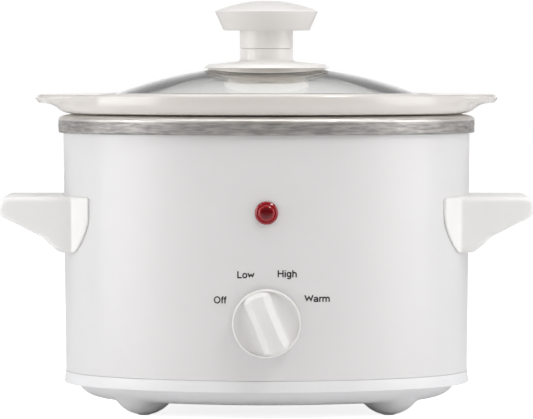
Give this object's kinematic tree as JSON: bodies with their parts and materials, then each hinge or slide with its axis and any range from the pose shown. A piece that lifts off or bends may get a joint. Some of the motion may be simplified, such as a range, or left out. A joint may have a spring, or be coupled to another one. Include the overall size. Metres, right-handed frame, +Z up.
{
  "type": "slow cooker",
  "caption": "Small oval slow cooker with a lift-out glazed crock, glass lid, side handles, power light and a rotary switch with Off, Low, High and Warm.",
  "frame": {"origin": "middle of the bounding box's underside, on the surface that the feet stand on", "axes": "+X towards the right-hand handle, -Y out of the front with the control knob, +Z up"},
  "size_m": [0.2794, 0.191, 0.215],
  "materials": {
    "white_enamel": "smooth gloss enamel on sheet steel",
    "bright_sheet": "rolled aluminised sheet, brushed and slightly marked",
    "white_plastic": "semi-gloss moulded plastic",
    "white_melamine": "polished heat-resistant plastic",
    "stoneware_glaze": "gloss white glaze on stoneware",
    "clear_glass": "clear tempered glass",
    "pale_plastic": "satin plastic",
    "red_lens": "clear red moulded lens",
    "grey_rubber": "matt grey rubber",
    "zinc_plate": "zinc-plated steel",
    "mica": "mica and glass-fibre wrap",
    "phenolic": "brown phenolic moulding",
    "brass": "turned brass",
    "lamp_glass": "small glass envelope",
    "white_ceramic": "unglazed ceramic",
    "black_wire": "soft wire sleeve",
    "white_wire": "soft wire sleeve"
  },
  "bodies": {
    "housing": {"outer_shell": "white_enamel", "well": "bright_sheet", "heat_shield": "bright_sheet", "base_pan": "white_plastic", "handle_left": "white_plastic", "handle_right": "white_plastic", "cord_gland": "white_plastic", "indicator_lens": "red_lens", "foot_pad_1": "grey_rubber", "foot_pad_2": "grey_rubber", "foot_pad_3": "grey_rubber", "foot_pad_4": "grey_rubber", "handle_screw_left_1": "zinc_plate", "handle_screw_left_2": "zinc_plate", "handle_screw_right_1": "zinc_plate", "handle_screw_right_2": "zinc_plate", "switch_nut": "zinc_plate", "lens_retainer": "zinc_plate", "heater_strap": "zinc_plate", "strap_screw": "zinc_plate", "well_bracket": "zinc_plate", "base_screw_1": "zinc_plate", "base_screw_2": "zinc_plate", "fuse_clip": "zinc_plate", "terminal_screw": "zinc_plate", "heater_band": "mica", "switch_body": "phenolic", "neon_lamp": "lamp_glass", "terminal_block": "white_ceramic", "thermal_fuse": "white_ceramic", "wire_live": "black_wire", "wire_lamp": "black_wire", "wire_neutral": "white_wire", "wire_heater": "white_wire"},
    "crock": {"crock": "stoneware_glaze"},
    "lid": {"lid_glass": "clear_glass", "lid_knob_cap": "white_melamine", "lid_knob_collar": "white_melamine", "lid_washer": "pale_plastic", "lid_screw": "zinc_plate"},
    "control": {"control_knob": "white_plastic", "switch_shaft": "brass", "knob_clip": "zinc_plate"}
  },
  "joints": [
    {"name": "crock_lift", "type": "slide", "parent": "housing", "child": "crock", "axis": [0, 0, 1], "range_m": [0, 0.13]},
    {"name": "lid_lift", "type": "slide", "parent": "crock", "child": "lid", "axis": [0, 0, 1], "range_m": [0, 0.08]},
    {"name": "control_turn", "type": "hinge", "parent": "housing", "child": "control", "pos_m": [0, -0.08298, 0.0507], "axis": [0, 1, 0], "range_deg": [-45, 90]}
  ]
}
